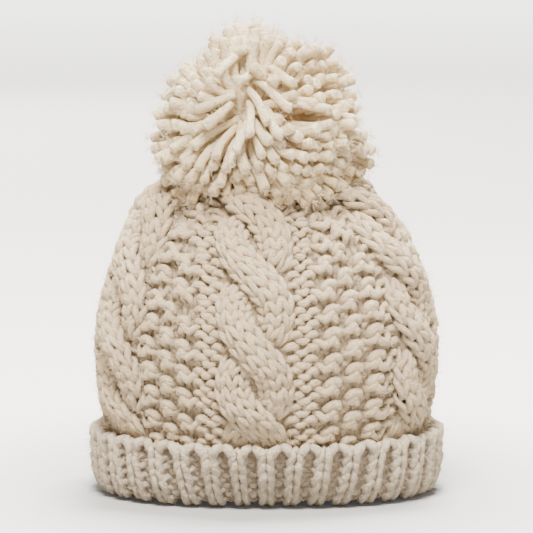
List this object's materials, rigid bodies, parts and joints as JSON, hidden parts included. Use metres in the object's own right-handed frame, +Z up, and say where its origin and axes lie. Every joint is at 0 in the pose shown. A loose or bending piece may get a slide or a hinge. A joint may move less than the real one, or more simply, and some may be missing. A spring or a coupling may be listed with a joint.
{
  "type": "cable knit beanie with pompom",
  "caption": "Thick knitted hat with six raised twisted cables, seed-stitch panels between them, a turned-up 1x1 rib cuff and a large cut-yarn pompom; open below for a head.",
  "frame": {"origin": "on the floor, in the middle of the rim that the hat stands on", "axes": "+Z up through the pompom, the front with the middle cable faces -Y, +X to the front view's right"},
  "size_m": [0.1656, 0.1709, 0.2239],
  "materials": {
    "crown_knit": "thick cream wool, cable and seed stitch",
    "rib_knit": "thick cream wool, 1x1 rib",
    "pompom_yarn": "soft cream cut yarn"
  },
  "bodies": {
    "root": {"crown": "crown_knit", "brim_cuff": "rib_knit", "pompom": "pompom_yarn"}
  },
  "joints": []
}
